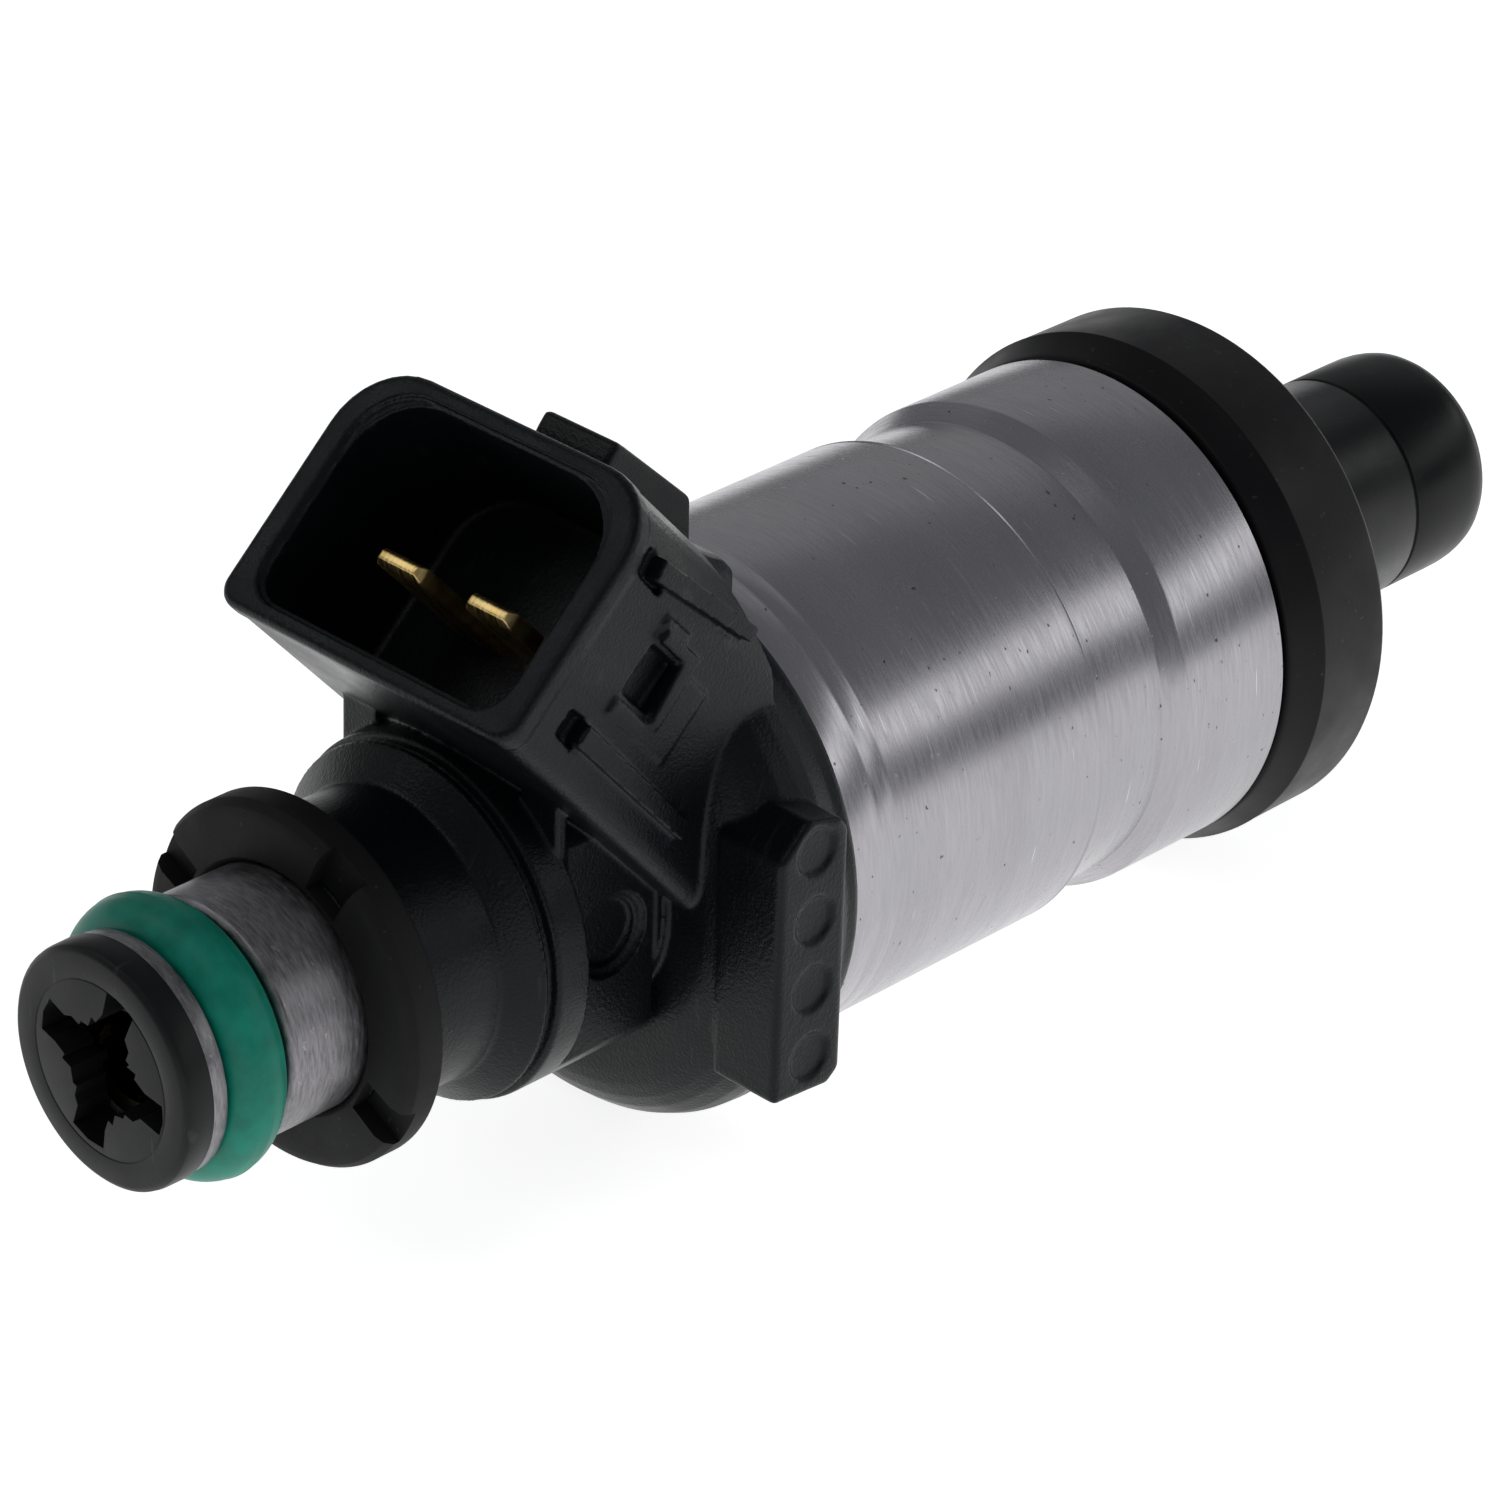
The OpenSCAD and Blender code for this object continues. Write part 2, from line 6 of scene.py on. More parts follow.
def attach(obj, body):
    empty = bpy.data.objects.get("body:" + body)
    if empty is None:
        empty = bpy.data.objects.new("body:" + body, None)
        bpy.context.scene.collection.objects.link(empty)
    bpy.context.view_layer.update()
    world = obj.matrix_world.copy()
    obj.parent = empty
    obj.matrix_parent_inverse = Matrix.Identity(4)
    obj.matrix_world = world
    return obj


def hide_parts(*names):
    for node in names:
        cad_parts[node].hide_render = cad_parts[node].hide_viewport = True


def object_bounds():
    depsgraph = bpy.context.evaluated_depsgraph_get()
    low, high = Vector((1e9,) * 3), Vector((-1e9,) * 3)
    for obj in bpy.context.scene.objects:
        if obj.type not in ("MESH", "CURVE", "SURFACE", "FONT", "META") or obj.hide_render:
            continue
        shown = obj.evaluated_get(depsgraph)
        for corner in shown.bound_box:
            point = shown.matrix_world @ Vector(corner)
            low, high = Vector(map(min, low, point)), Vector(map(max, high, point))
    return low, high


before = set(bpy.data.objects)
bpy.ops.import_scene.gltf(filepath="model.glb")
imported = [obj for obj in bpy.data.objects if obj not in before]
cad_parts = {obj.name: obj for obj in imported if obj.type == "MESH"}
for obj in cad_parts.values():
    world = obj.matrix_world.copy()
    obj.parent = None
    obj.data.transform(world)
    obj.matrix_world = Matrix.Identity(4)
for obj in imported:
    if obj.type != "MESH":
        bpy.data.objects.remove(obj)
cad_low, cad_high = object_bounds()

# ---------------------------------------------------------------- Studio
# A pale glowing table under a dim sky. A long soft box on the nozzle's side
# streaks the steel, a wide one lights the back, and small ones light the plug,
# the top and the inlet. The camera looks down on the plug from the inlet's end.
MM = 0.001
TABLE_GAP = 0.02                     # mm between the table and the injector
LIT_POINT = Vector((-0.02, 0, 0))    # where every lamp points
CAMERA_PLACE = (-0.18583, -0.15468, 0.12623)

scene = bpy.context.scene
scene.view_settings.view_transform = "Standard"

camera = bpy.data.objects.new("camera", bpy.data.cameras.new("camera"))
scene.collection.objects.link(camera)
scene.camera = camera
camera.data.lens = 156
camera.data.sensor_width = 36
camera.data.clip_start = 0.01
right = (0.7008, -0.7127, 0.0291)
up = (0.3307, 0.3608, 0.8720)
forward = (0.6320, 0.6015, -0.4886)
camera.matrix_world = Matrix((
    (right[0], up[0], -forward[0], CAMERA_PLACE[0]),
    (right[1], up[1], -forward[1], CAMERA_PLACE[1]),
    (right[2], up[2], -forward[2], CAMERA_PLACE[2]),
    (0, 0, 0, 1)))

bpy.ops.mesh.primitive_plane_add(size=6, location=(0, 0, cad_low.z - TABLE_GAP * MM))
table_top = bpy.context.object
table_top.name = "table_top"

paper = bpy.data.materials.new("white_paper")
paper.use_nodes = True
paper_shader = paper.node_tree.nodes["Principled BSDF"]
paper_shader.inputs["Base Color"].default_value = (0.9, 0.9, 0.9, 1)
paper_shader.inputs["Roughness"].default_value = 0.9
paper_shader.inputs["Specular IOR Level"].default_value = 0.1
paper_shader.inputs["Emission Color"].default_value = (1, 1, 1, 1)
paper_shader.inputs["Emission Strength"].default_value = 0.85
table_top.data.materials.append(paper)

world = bpy.data.worlds.new("studio")
scene.world = world
world.use_nodes = True
sky = world.node_tree.nodes["Background"]
sky.inputs["Color"].default_value = (0.93, 0.96, 1, 1)
sky.inputs["Strength"].default_value = 0.2


def soft_box(name, direction, distance, size, power):
    """A rectangular lamp that faces the middle of the injector."""
    lamp = bpy.data.objects.new(name, bpy.data.lights.new(name, "AREA"))
    scene.collection.objects.link(lamp)
    lamp.data.shape = "RECTANGLE"
    lamp.data.size, lamp.data.size_y = size
    lamp.data.energy = power
    away = Vector(direction).normalized()
    lamp.location = LIT_POINT + away * distance
    lamp.rotation_mode = "QUATERNION"
    lamp.rotation_quaternion = away.to_track_quat("Z", "X")


soft_box("streak", (0.632, -0.657, 0.395), 0.8, (0.19, 1.2), 0.95)
soft_box("fill", (-0.75, -0.6, 0.12), 0.9, (0.5, 0.3), 0.22)
soft_box("top", (-0.45, -0.04, 0.89), 0.9, (0.3, 0.3), 0.45)
soft_box("plug", (-0.436, 0.6, 0.669), 0.9, (0.35, 0.35), 0.5)
soft_box("back", (0.632, 0.55, 0.5), 0.9, (0.6, 1.0), 0.3)

# ---------------------------------------------------------------- Valve body and seat
# The turned and ground steel guide of the valve, with the washer that stops the
# needle, the spacer above it and the washer that closes the magnet's circuit.
# All are turned from bar, so the tool marks run round the axis.


def finish_of(name, color, roughness, metallic=0.0, specular=0.5):
    """A material with a plain shader of one colour, which the patterns build on."""
    material = bpy.data.materials.new(name)
    material.use_nodes = True
    shader = material.node_tree.nodes["Principled BSDF"]
    shader.inputs["Base Color"].default_value = (*color, 1)
    shader.inputs["Roughness"].default_value = roughness
    shader.inputs["Metallic"].default_value = metallic
    shader.inputs["Specular IOR Level"].default_value = specular
    return material


def pattern(material, cycles, turn=(0, 0, 0), detail=3.0, rough=0.55, shift=(0, 0, 0)):
    """Noise with that many cycles per metre along X, Y and Z of the piece."""
    nodes, links = material.node_tree.nodes, material.node_tree.links
    place = nodes.new("ShaderNodeTexCoord")
    mapping = nodes.new("ShaderNodeMapping")
    mapping.inputs["Location"].default_value = shift
    mapping.inputs["Rotation"].default_value = turn
    mapping.inputs["Scale"].default_value = cycles
    noise = nodes.new("ShaderNodeTexNoise")
    noise.inputs["Scale"].default_value = 1.0
    noise.inputs["Detail"].default_value = detail
    noise.inputs["Roughness"].default_value = rough
    links.new(place.outputs["Object"], mapping.inputs["Vector"])
    links.new(mapping.outputs["Vector"], noise.inputs["Vector"])
    return noise.outputs["Fac"]


def remap(material, value, low, high, to_low=0.0, to_high=1.0):
    """Stretches a span of a pattern to another span, and clips what lies outside."""
    node = material.node_tree.nodes.new("ShaderNodeMapRange")
    material.node_tree.links.new(value, node.inputs["Value"])
    spans = {"From Min": low, "From Max": high, "To Min": to_low, "To Max": to_high}
    for name, number in spans.items():
        node.inputs[name].default_value = number
    return node.outputs["Result"]


def tint(material, factor, dark, light):
    """Mixes two colours, or a colour over a socket, by a factor."""
    node = material.node_tree.nodes.new("ShaderNodeMix")
    node.data_type = "RGBA"
    links = material.node_tree.links
    links.new(factor, node.inputs["Factor"])
    for socket, color in ((node.inputs[6], dark), (node.inputs[7], light)):
        if isinstance(color, tuple):
            socket.default_value = (*color, 1)
        else:
            links.new(color, socket)
    return node.outputs[2]


def relief(material, height, depth_mm, over=None):
    """Raises the surface by a pattern, on top of any relief that it has."""
    node = material.node_tree.nodes.new("ShaderNodeBump")
    node.inputs["Strength"].default_value = 1.0
    node.inputs["Distance"].default_value = depth_mm * MM
    material.node_tree.links.new(height, node.inputs["Height"])
    if over is not None:
        material.node_tree.links.new(over, node.inputs["Normal"])
    return node.outputs["Normal"]


def plug_in(material, **sockets):
    """Joins patterns to the shader's sockets."""
    shader = material.node_tree.nodes["Principled BSDF"]
    names = {"color": "Base Color", "roughness": "Roughness", "normal": "Normal"}
    for name, value in sockets.items():
        material.node_tree.links.new(value, shader.inputs[names[name]])


def turned_metal(name, dark, light, roughness, ring_pitch=0.12, depth=0.002):
    """Metal with fine lathe rings round X and soft blotches."""
    material = finish_of(name, light, roughness, metallic=1.0)
    fine = pattern(material, (1000 / ring_pitch, 220, 220), detail=4, rough=0.6)
    broad = pattern(material, (900, 70, 70), detail=2)
    plug_in(material,
        color=tint(material, remap(material, broad, 0.35, 0.65), dark, light),
        roughness=remap(material, fine, 0.3, 0.7, roughness - 0.07, roughness + 0.09),
        normal=relief(material, fine, depth))
    return material


def repaint(material, *nodes):
    """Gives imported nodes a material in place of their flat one."""
    for name in nodes:
        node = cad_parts[name]
        node.data.materials.clear()
        node.data.materials.append(material)


inner_steel = turned_metal("inner_turned_steel", (0.30, 0.29, 0.29), (0.46, 0.45, 0.45), 0.34)
repaint(inner_steel, "valve_body", "stop_plate", "spacer_ring", "back_plate")

# ---------------------------------------------------------------- Needle and armature
# The moving valve: a soft iron slug pressed on a hardened needle. The needle is
# ground bright, and both show fine grinding rings.
ground_steel = turned_metal("ground_steel", (0.44, 0.44, 0.46), (0.6, 0.6, 0.63), 0.2, 0.05, 0.0008)
repaint(ground_steel, "needle", "armature")

# ---------------------------------------------------------------- Spring, gauze and orifice plate
# Bright drawn spring wire, the fine woven gauze of the filter, and the etched
# plate with the metering hole.
bright_wire = finish_of("bright_wire", (0.55, 0.55, 0.57), 0.25, metallic=1.0)
drawn = pattern(bright_wire, (2500, 2500, 2500), detail=2)
plug_in(bright_wire,
    color=tint(bright_wire, drawn, (0.4, 0.4, 0.42), (0.62, 0.62, 0.64)),
    roughness=remap(bright_wire, drawn, 0.3, 0.7, 0.18, 0.34),
    normal=relief(bright_wire, drawn, 0.004))
repaint(bright_wire, "return_spring", "orifice_plate", "filter_mesh")

# ---------------------------------------------------------------- Coil
# Enamelled copper wound on a brown glass-filled spool, with two soldered leads
# and a rubber ring in each end of the spool.
enamel_copper = finish_of("enamel_copper", (0.5, 0.2, 0.09), 0.28, metallic=1.0)
turns_of_wire = pattern(enamel_copper, (6500, 60, 60), detail=1)
plug_in(enamel_copper,
    color=tint(enamel_copper, remap(enamel_copper, turns_of_wire, 0.35, 0.65),
        (0.3, 0.1, 0.04), (0.62, 0.27, 0.12)),
    normal=relief(enamel_copper, turns_of_wire, 0.03))
repaint(enamel_copper, "coil_winding", "coil_lead_left", "coil_lead_right")

spool_plastic = finish_of("spool_plastic", (0.09, 0.06, 0.035), 0.45, specular=0.4)
fibres = pattern(spool_plastic, (1800, 1800, 1800), detail=4)
plug_in(spool_plastic,
    color=tint(spool_plastic, fibres, (0.06, 0.04, 0.025), (0.12, 0.085, 0.05)),
    normal=relief(spool_plastic, fibres, 0.01))
repaint(spool_plastic, "coil_bobbin")

# ---------------------------------------------------------------- Inlet tube
# A stainless tube turned from bar. It has the O-ring groove and a thin flange in
# front, and runs through the plastic to the coil. Closely spaced tool marks and a
# few nicks show on the part between the O-ring and the cushion.
RING_STEPS = 160      # sides of every turned piece that is seen
EDGE_ANGLE = 30       # degrees: edges sharper than this are bevelled on turned pieces


def start_fresh():
    """Leaves edit mode and deselects everything."""
    if bpy.context.object and bpy.context.object.mode != "OBJECT":
        bpy.ops.object.mode_set(mode="OBJECT")
    bpy.ops.object.select_all(action="DESELECT")


def pick(piece):
    """Selects one piece alone and makes it the active one."""
    start_fresh()
    piece.select_set(True)
    bpy.context.view_layer.objects.active = piece


def apply_place(piece):
    """Moves a piece's place, turn and scale into its mesh."""
    pick(piece)
    bpy.ops.object.transform_apply(location=True, rotation=True, scale=True)


def apply_modifier(piece, kind, **settings):
    """Adds a modifier to a piece and applies it."""
    pick(piece)
    modifier = piece.modifiers.new(kind.lower(), kind)
    for name, value in settings.items():
        setattr(modifier, name, value)
    bpy.ops.object.modifier_apply(modifier=modifier.name)


def smooth(piece, angle=35):
    """Smooth shading, but for edges sharper than the angle."""
    pick(piece)
    bpy.ops.object.shade_smooth_by_angle(angle=math.radians(angle))


def turned(name, outline, steps=RING_STEPS, edge=0.0, segments=3):
    """Turns a closed ring or disc about X from (x, radius) pairs in millimetres."""
    start_fresh()
    x_now, r_now = outline[0]
    bpy.ops.mesh.primitive_circle_add(vertices=steps, radius=r_now,
        location=(x_now, 0, 0), rotation=(0, math.pi / 2, 0))
    piece = bpy.context.object
    piece.name = name
    apply_place(piece)
    bpy.ops.object.mode_set(mode="EDIT")
    bpy.ops.mesh.select_all(action="SELECT")
    for x_next, r_next in outline[1:]:
        bpy.ops.mesh.extrude_edges_move(
            TRANSFORM_OT_translate={"value": (x_next - x_now, 0, 0)})
        grow = r_next / r_now
        bpy.ops.transform.resize(value=(1, grow, grow), center_override=(x_next, 0, 0))
        x_now, r_now = x_next, r_next
    bpy.ops.mesh.select_all(action="DESELECT")
    bpy.ops.mesh.select_mode(type="EDGE")
    bpy.ops.mesh.select_non_manifold(extend=False, use_wire=True, use_boundary=True,
        use_multi_face=False, use_non_contiguous=False, use_verts=False)
    bpy.ops.mesh.bridge_edge_loops()
    bpy.ops.mesh.select_all(action="SELECT")
    bpy.ops.mesh.normals_make_consistent(inside=False)
    bpy.ops.object.mode_set(mode="OBJECT")
    if edge:
        apply_modifier(piece, "BEVEL", width=edge, segments=segments, limit_method="ANGLE",
            angle_limit=math.radians(EDGE_ANGLE))
    return piece


def fit(piece, material, slot, *nodes, body="root", angle=35):
    """Finishes a piece made in millimetres: scale, shading, material, body and node. The slot is
    not used.
    """
    piece.scale = (MM, MM, MM)
    apply_place(piece)
    smooth(piece, angle)
    piece.data.materials.clear()
    piece.data.materials.append(material)
    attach(piece, body)
    if nodes:
        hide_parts(*nodes)


tube_steel = finish_of("tube_turned_steel", (0.2, 0.195, 0.205), 0.38, metallic=1.0)
tool_marks = pattern(tube_steel, (8500, 1300, 1300), detail=4, rough=0.7)
nicks = pattern(tube_steel, (3800, 2600, 2600), detail=2, rough=0.6)
tube_color = tint(tube_steel, remap(tube_steel, tool_marks, 0.35, 0.65),
    (0.15, 0.145, 0.152), (0.3, 0.29, 0.305))
tube_color = tint(tube_steel, remap(tube_steel, nicks, 0.66, 0.72, 0, 0.6),
    tube_color, (0.4, 0.39, 0.4))
plug_in(tube_steel,
    color=tube_color,
    roughness=remap(tube_steel, tool_marks, 0.3, 0.7, 0.32, 0.5),
    normal=relief(tube_steel, tool_marks, 0.004))

inlet_tube = turned("inlet_tube_turned", [
    (-55.23, 2.35), (-55.23, 3.7), (-55.75, 3.72), (-55.75, 4.78),
    (-55.02, 4.8), (-55.0, 3.05), (-52.05, 3.05), (-52.05, 4.72), (-51.85, 4.93),
    (-16.8, 4.93), (-16.5, 4.63), (-16.5, 2.35)], edge=0.05, segments=2)
fit(inlet_tube, tube_steel, "tube_steel", "inlet_tube")

# ---------------------------------------------------------------- Filter and adjusting tube
# The brass ferrule of the filter is painted near black as painted shade for the dark of the inlet.
# A few spots of bright brass colour on it are painted glints. The brass adjusting tube behind it is
# pressed in and staked to set the spring's load.
brass = finish_of("brass", (0.62, 0.45, 0.2), 0.3, metallic=1.0)
brass_grain = pattern(brass, (3500, 3500, 3500), detail=3)
plug_in(brass,
    color=tint(brass, remap(brass, brass_grain, 0.35, 0.65),
        (0.5, 0.34, 0.13), (0.74, 0.57, 0.28)),
    roughness=remap(brass, brass_grain, 0.3, 0.7, 0.22, 0.42),
    normal=relief(brass, brass_grain, 0.006))
repaint(brass, "adjusting_tube")
# The near-black colour is painted shade inside the inlet. The noise lifts a few spots to brass
# colour as painted glints.
painted_shade_brass = finish_of("painted_shade_brass", (0.02, 0.014, 0.006), 0.3, metallic=1.0)
painted_glint = pattern(painted_shade_brass, (900, 900, 900), detail=3, shift=(2, 4, 1))
plug_in(painted_shade_brass,
    color=tint(painted_shade_brass, remap(painted_shade_brass, painted_glint, 0.62, 0.68),
        (0.012, 0.008, 0.004), (0.55, 0.38, 0.12)),
    normal=relief(painted_shade_brass, painted_glint, 0.05))
repaint(painted_shade_brass, "filter_ferrule")

# ---------------------------------------------------------------- Filter cap
# A black moulded cap, snapped over the tube's end. A fine round line in its face
# frames the star-shaped inlet, whose edge is ragged where it was trimmed.
STAR_ARMS = ((20, 3.3, 14), (110, 3.62, 12), (190, 3.5, 11), (283, 3.35, 15))
# Each arm has its middle in degrees, its reach in millimetres and half its width in degrees.


def moulded_plastic(name, color, roughness, grain=0.012, pitch=0.11):
    """Black glass-filled plastic with spark-eroded grain and faint scuffs."""
    material = finish_of(name, color, roughness, specular=0.17)
    texture = pattern(material, (1000 / pitch,) * 3, detail=2, rough=0.6)
    cloud = pattern(material, (260, 260, 260), detail=3)
    scuff = pattern(material, (500, 3500, 500), turn=(0.5, 0.3, 0.9), detail=2)
    rub = remap(material, scuff, 0.66, 0.74)
    body = tint(material, cloud, color, tuple(c * 1.5 for c in color))
    plug_in(material,
        color=tint(material, rub, body, tuple(c * 3 + 0.004 for c in color)),
        roughness=remap(material, cloud, 0.3, 0.7, roughness - 0.06, roughness + 0.1),
        normal=relief(material, texture, grain))
    return material


cap_plastic = moulded_plastic("cap_plastic", (0.0065, 0.0068, 0.0075), 0.4, grain=0.006)


def apply_boolean(piece, tool, operation):
    """Cuts a piece with a tool or joins the tool to it, and throws the tool away."""
    apply_modifier(piece, "BOOLEAN", operation=operation, solver="MANIFOLD", object=tool)
    bpy.data.objects.remove(tool)


def prism(name, outline, along, start, end):
    """A prism over an outline in millimetres, from start to end along X, Y or Z."""
    start_fresh()
    bpy.ops.mesh.primitive_circle_add(vertices=len(outline), radius=1, fill_type="NGON")
    piece = bpy.context.object
    piece.name = name
    for vertex, (a, b) in zip(piece.data.vertices, outline):
        vertex.co = {"X": (start, a, b), "Y": (a, start, b), "Z": (a, b, start)}[along]
    bpy.ops.object.mode_set(mode="EDIT")
    bpy.ops.mesh.select_all(action="SELECT")
    step = Vector([(end - start) if axis == along else 0 for axis in "XYZ"])
    bpy.ops.mesh.extrude_region_move(TRANSFORM_OT_translate={"value": step})
    bpy.ops.mesh.select_all(action="SELECT")
    bpy.ops.mesh.normals_make_consistent(inside=False)
    bpy.ops.object.mode_set(mode="OBJECT")
    return piece


filter_cap = turned("filter_cap_moulding", [
    (-55.75, 3.68), (-55.25, 3.68), (-55.25, 1.2), (-57.0, 1.2), (-57.0, 3.55),
    (-56.97, 3.575), (-56.97, 3.61), (-57.0, 3.635), (-57.0, 4.56), (-56.95, 4.68),
    (-56.82, 4.82), (-56.6, 4.87), (-55.75, 4.88)], edge=0.03, segments=2)
star = []    # angle and radius of each corner
for middle, reach, half in STAR_ARMS:
    star += [(middle - 40, 1.75), (middle - 31, 2.15), (middle - 25, 2.0),
        (middle - half - 3, 2.5), (middle - half, reach - 0.05), (middle, reach + 0.03),
        (middle + half, reach), (middle + half + 4, 2.45), (middle + 27, 2.25),
        (middle + 33, 1.85), (middle + 39, 1.95)]
star_tool = prism("star", [(r * math.cos(math.radians(a)), r * math.sin(math.radians(a)))
    for a, r in star], "X", -57.6, -55.0)
apply_boolean(filter_cap, star_tool, "DIFFERENCE")
fit(filter_cap, cap_plastic, "black_plastic", "filter_cap")
repaint(cap_plastic, "filter_basket")

# ---------------------------------------------------------------- Inlet O-ring
# A green moulded rubber ring that seals in the rail. A fine parting line runs
# round its outside, and it is a little dusty.
O_RING_X, O_RING_RADIUS = -53.53, 4.33    # middle of the rubber's section
O_RING_HALF_X, O_RING_HALF_R = 1.33, 1.3  # half of its width and of its thickness
SEAM_RISE, SEAM_DIP = 0.03, -0.02
SECTION_STEPS = 48

green_rubber = finish_of("green_rubber", (0.003, 0.19, 0.125), 0.42, specular=0.22)
dust = pattern(green_rubber, (900, 900, 900), detail=4, rough=0.65)
plug_in(green_rubber,
    color=tint(green_rubber, remap(green_rubber, dust, 0.35, 0.75),
        (0.002, 0.17, 0.115), (0.006, 0.25, 0.175)),
    roughness=remap(green_rubber, dust, 0.3, 0.7, 0.34, 0.52),
    normal=relief(green_rubber, dust, 0.006))
ring_section = []
for step in range(SECTION_STEPS):
    turn = math.radians(step * 360 / SECTION_STEPS - 180)
    outermost = abs(step - SECTION_STEPS // 2)
    seam = {0: SEAM_RISE, 1: SEAM_DIP}.get(outermost, 0)
    ring_section.append((O_RING_X + O_RING_HALF_X * math.sin(turn),
        O_RING_RADIUS + (O_RING_HALF_R + seam) * math.cos(turn)))
inlet_o_ring = turned("inlet_o_ring_moulding", ring_section)
fit(inlet_o_ring, green_rubber, "green_rubber", "inlet_o_ring", angle=60)

# ---------------------------------------------------------------- Cushion ring
# A moulded rubber ring between the injector and the rail's cup, pushed over the
# tube. Four slots are moulded into its front face.
SLOT_ANGLES = (28, 118, 208, 298)


def black_rubber(name, color, roughness, grain=0.01):
    """Matte moulded rubber with pale dust in its pores."""
    material = finish_of(name, color, roughness, specular=0.16)
    pores = pattern(material, (5000, 5000, 5000), detail=3, rough=0.65)
    bloom = pattern(material, (350, 350, 350), detail=4)
    specks = pattern(material, (2600, 2600, 2600), detail=1, shift=(3, 1, 2))
    body = tint(material, bloom, color, tuple(c * 1.7 for c in color))
    plug_in(material,
        color=tint(material, remap(material, specks, 0.72, 0.78), body,
            (0.025, 0.025, 0.026)),
        roughness=remap(material, bloom, 0.3, 0.7, roughness - 0.05, roughness + 0.1),
        normal=relief(material, pores, grain))
    return material


cushion_rubber = black_rubber("cushion_rubber", (0.0055, 0.0055, 0.0058), 0.6)
cushion_ring = turned("cushion_ring_moulding", [
    (-47.9, 4.95), (-48.3, 4.95), (-48.5, 5.15), (-48.5, 6.75), (-48.35, 7.15),
    (-48.0, 7.38), (-46.85, 7.38), (-46.62, 7.15), (-46.6, 5.4), (-47.9, 5.4)], edge=0.06)
for angle in SLOT_ANGLES:
    slot_tool = prism("slot_tool", [(-0.85, 5.3), (0.85, 5.3), (1.0, 8.2), (-1.0, 8.2)],
        "X", -49.5, -47.75)
    slot_tool.rotation_euler = (math.radians(angle), 0, 0)
    apply_place(slot_tool)
    apply_boolean(cushion_ring, slot_tool, "DIFFERENCE")
fit(cushion_ring, cushion_rubber, "black_rubber", "cushion_ring")
repaint(cushion_rubber, "front_coil_seal", "rear_coil_seal", "valve_body_seal")

# ---------------------------------------------------------------- Steel housing
# A can of plated steel, turned all over: a sharp step, a turned-down band and a
# chamfer. It has brushed rings, small pits and a few light scratches.
housing_steel = finish_of("housing_steel", (0.4, 0.39, 0.41), 0.28, metallic=1.0)
brush = pattern(housing_steel, (8500, 650, 650), detail=5, rough=0.65)
bands = pattern(housing_steel, (420, 25, 25), detail=3)
blotch = pattern(housing_steel, (240, 240, 240), detail=5, rough=0.6)
pit_spots = pattern(housing_steel, (4200, 3000, 3000), detail=1, rough=0.4, shift=(5, 2, 9))
pits = remap(housing_steel, pit_spots, 0.765, 0.8)
scratch_lines = pattern(housing_steel, (9000, 330, 330), turn=(0.4, 0.25, 0.12), detail=1)
scratches = remap(housing_steel, scratch_lines, 0.76, 0.8)
steel_color = tint(housing_steel, remap(housing_steel, bands, 0.3, 0.7),
    (0.375, 0.36, 0.385), (0.42, 0.408, 0.43))
steel_color = tint(housing_steel, remap(housing_steel, brush, 0.3, 0.7, 0, 0.35),
    steel_color, (0.27, 0.265, 0.275))
steel_color = tint(housing_steel, remap(housing_steel, blotch, 0.45, 0.75, 0, 0.5),
    steel_color, (0.36, 0.365, 0.37))
steel_color = tint(housing_steel, scratches, steel_color, (0.62, 0.61, 0.63))
steel_color = tint(housing_steel, pits, steel_color, (0.1, 0.095, 0.1))
steel_normal = relief(housing_steel, brush, 0.004)
plug_in(housing_steel,
    color=steel_color,
    roughness=remap(housing_steel, brush, 0.3, 0.7, 0.2, 0.33),
    normal=relief(housing_steel, remap(housing_steel, pit_spots, 0.75, 0.8, 1, 0), 0.012,
        over=steel_normal))

steel_housing = turned("steel_housing_can", [
    (-30.0, 8.6), (-30.0, 9.6), (-28.35, 9.6), (-28.35, 10.36), (-28.1, 10.42), (-26.75, 10.42),
    (-26.68, 10.405), (-26.55, 10.405), (-26.48, 10.42), (-25.75, 10.42), (-25.68, 10.408),
    (-25.58, 10.408), (-25.5, 10.42),
    (-14.16, 10.42), (-14.12, 10.385), (-14.04, 10.385), (-14.0, 10.42), (-13.93, 10.42),
    (-13.88, 10.36), (-13.86, 9.9), (-13.8, 9.87), (-9.78, 9.87), (-9.7, 9.9),
    (-8.9, 10.47), (-8.8, 10.5), (-3.15, 10.5), (-2.9, 10.25), (-2.9, 7.9), (-3.2, 7.9),
    (-3.2, 8.6)])
fit(steel_housing, housing_steel, "housing_steel", "steel_housing", angle=20)

# ---------------------------------------------------------------- Moulded plug body
# One black moulding holds the tube and the coil: the neck and coned collar, the
# round block with two flats, the dome over the housing with a dimpled pad on
# each side, and the plug with its lock ramp. Its edges are softly rounded.
PLUG_MOUTH = Vector((-40.4, 0, 15.72))
PLUG_TURN = math.radians(47.33 - 90)
PLUG_SIDE = 7.82       # half width of the plug across Y
SOCKET_DEPTH = 8
FLAT_Y = 5.8           # the block's two flats lie this far from the axis
BLOCK_SIDE = 8.6       # outside the round block's side, and inside the pads
PAD_FACE = 11.98       # the pads' faces lie this far from the axis
PAD_BACK_X = -30.32
PAD_FLARE = 1.833      # how much wider a pad is at its face than at its root
DIMPLE_HEIGHTS = (-4.5, -1.5, 1.5, 4.5)
CAN_FIT, TUBE_FIT = 9.62, 5.0    # radii of the room for the housing's spigot and the tube
TOOL_STEPS = 128       # sides of the moulding's round parts and cutters
VOXEL = 0.1            # the moulding is remeshed this finely to soften its edges
FACES_KEPT = 90000

body_plastic = moulded_plastic("body_plastic", (0.0022, 0.0034, 0.0042), 0.32,
    grain=0.028, pitch=0.14)


